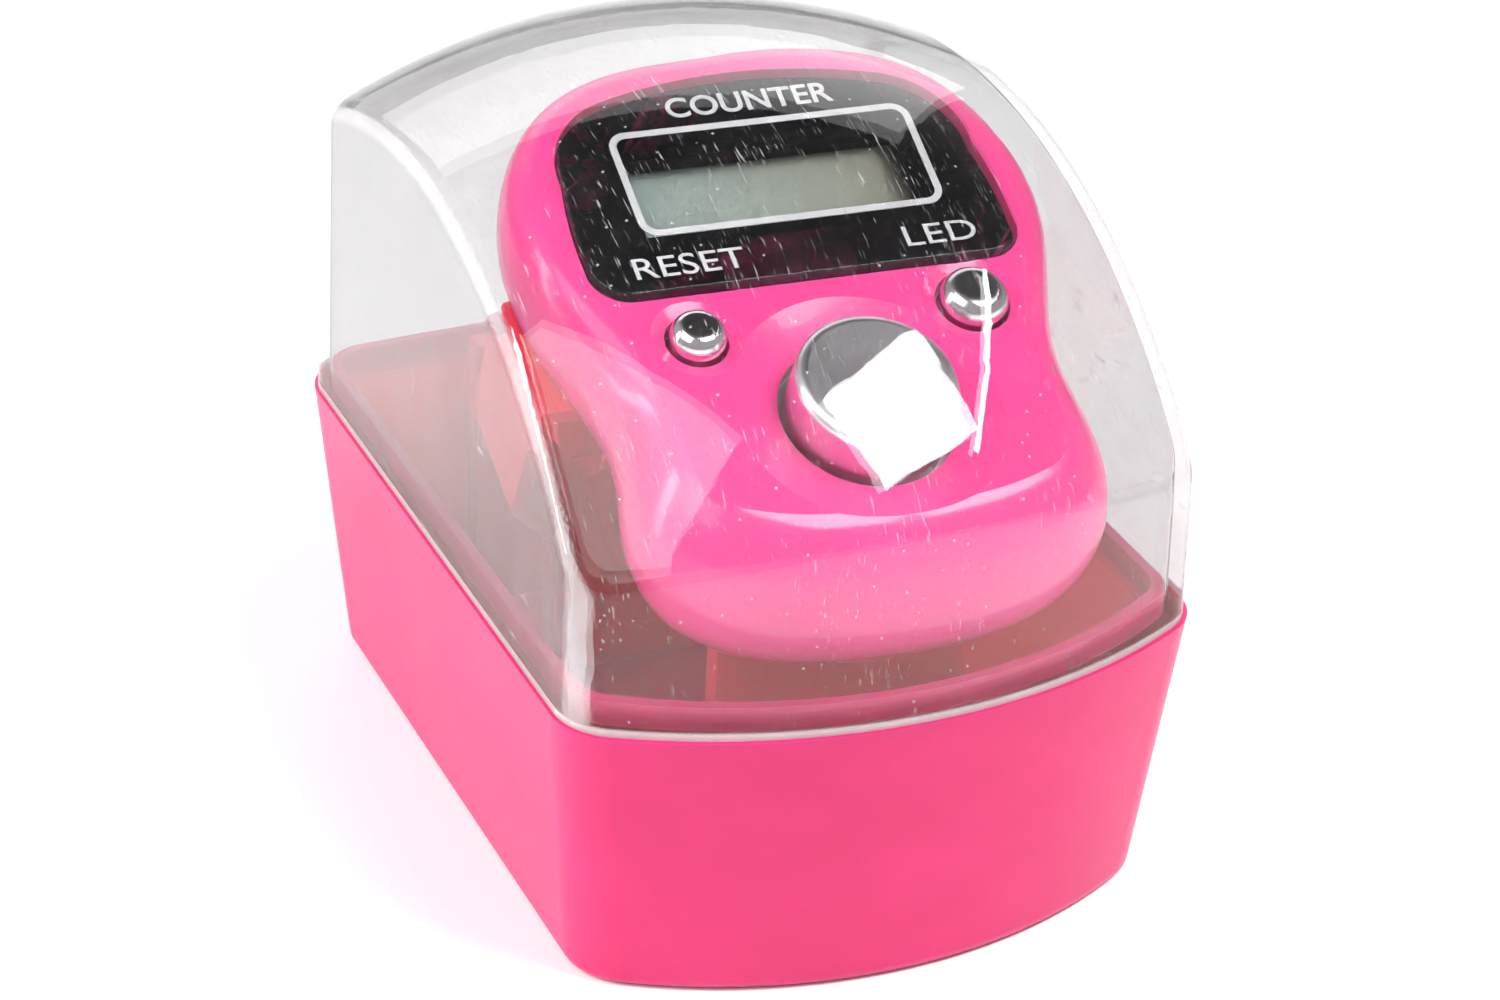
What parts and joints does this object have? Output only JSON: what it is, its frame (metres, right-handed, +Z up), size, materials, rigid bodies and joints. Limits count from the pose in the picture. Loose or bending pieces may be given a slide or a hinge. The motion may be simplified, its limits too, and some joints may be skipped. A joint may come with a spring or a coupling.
{
  "type": "hand tally counter",
  "caption": "Electronic finger tally counter with display and metal buttons, strapped on the bridge of a tapered tray under a lift-off arched clear cover.",
  "frame": {"origin": "middle of the tray's resting face", "axes": "+Z up, -Y towards the bowed front that the count button faces, +X to the right of someone reading the display"},
  "size_m": [0.038, 0.0516, 0.0437],
  "materials": {
    "tray_pink": "satin moulded plastic",
    "strap_rubber": "soft matt rubber",
    "clear_plastic": "clear polished plastic with fine scratches",
    "shell_pink": "glossy moulded plastic",
    "clear_window": "clear polished plastic",
    "black_print": "gloss black print",
    "display_glass": "thin glass",
    "display_back": "grey-green film",
    "inner_white": "moulded white plastic",
    "connector_rubber": "striped rubber",
    "board": "green solder mask",
    "resin": "black resin",
    "small_parts": "ceramic and tin",
    "steel": "bright steel",
    "chrome_cap": "polished metal",
    "gilt": "gilt copper"
  },
  "bodies": {
    "case": {"back_stop": "tray_pink", "base_tray": "tray_pink", "battery_ring": "inner_white", "body_screws": "steel", "button_cell": "steel", "chip_parts": "small_parts", "chip_resin": "resin", "circuit_board": "board", "connector_strips": "connector_rubber", "contact_minus": "steel", "contact_plus": "steel", "count_dome": "strap_rubber", "count_pad": "gilt", "crystal": "steel", "display_lamps": "inner_white", "lamp_dome": "strap_rubber", "lamp_pad": "gilt", "lcd_bezel": "black_print", "lcd_glass": "display_glass", "lcd_reflector": "display_back", "lens": "clear_window", "lens_mask": "black_print", "lower_shell": "shell_pink", "reset_dome": "strap_rubber", "reset_pad": "gilt", "strap_bridge": "tray_pink", "strap_left": "strap_rubber", "strap_peg": "strap_rubber", "strap_right": "strap_rubber", "upper_shell": "shell_pink"},
    "cover": {"clear_cover": "clear_plastic"},
    "count_button": {"count_cap": "chrome_cap", "count_plunger": "inner_white"},
    "reset_button": {"reset_cap": "chrome_cap", "reset_plunger": "inner_white"},
    "lamp_button": {"lamp_cap": "chrome_cap", "lamp_plunger": "inner_white"},
    "battery_hatch": {"battery_door": "shell_pink"}
  },
  "joints": [
    {"name": "cover_lift", "type": "slide", "parent": "case", "child": "cover", "axis": [0, 0, 1], "range_m": [0, 0.05]},
    {"name": "count_press", "type": "slide", "parent": "case", "child": "count_button", "axis": [0, 0.4258, -0.9048], "range_m": [0, 0.0009], "stiffness_N_per_m": 1500, "springref_m": -0.0005, "deforming": ["count_dome"]},
    {"name": "reset_press", "type": "slide", "parent": "case", "child": "reset_button", "axis": [0, 0.4258, -0.9048], "range_m": [0, 0.0005], "stiffness_N_per_m": 2000, "springref_m": -0.0004, "deforming": ["reset_dome"]},
    {"name": "lamp_press", "type": "slide", "parent": "case", "child": "lamp_button", "axis": [0, 0.4258, -0.9048], "range_m": [0, 0.0005], "stiffness_N_per_m": 2000, "springref_m": -0.0004, "deforming": ["lamp_dome"]},
    {"name": "battery_door_turn", "type": "hinge", "parent": "case", "child": "battery_hatch", "pos_m": [0.00068, -0.00496, 0.02376], "axis": [0, 0.4258, -0.9048], "range_deg": [0, 40]}
  ]
}
